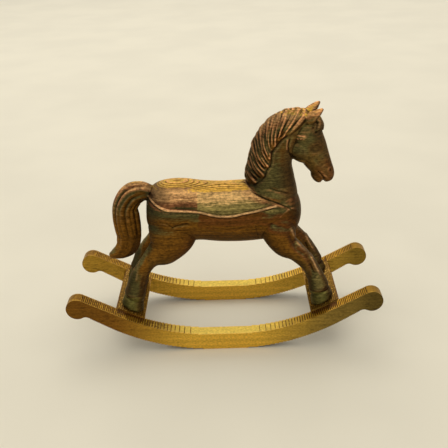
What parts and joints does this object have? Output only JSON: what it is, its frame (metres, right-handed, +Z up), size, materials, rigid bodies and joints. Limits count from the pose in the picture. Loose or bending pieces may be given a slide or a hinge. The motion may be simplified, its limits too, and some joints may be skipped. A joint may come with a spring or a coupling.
{
  "type": "rocking horse figurine",
  "caption": "Leaping horse with carved mane, saddle edge and curling tail, standing on the cross boards of a curved rocker frame.",
  "frame": {"origin": "on the supporting surface, midway between the two flat spots of the runners", "axes": "+X the way the horse faces, +Z up, the horse's right side towards -Y"},
  "size_m": [0.0998, 0.0342, 0.075],
  "materials": {
    "horse": "silk gold, copper and green printed layers",
    "rocker_frame": "silk gold printed layers"
  },
  "bodies": {
    "root": {"horse": "horse", "rocker_frame": "rocker_frame"}
  },
  "joints": []
}
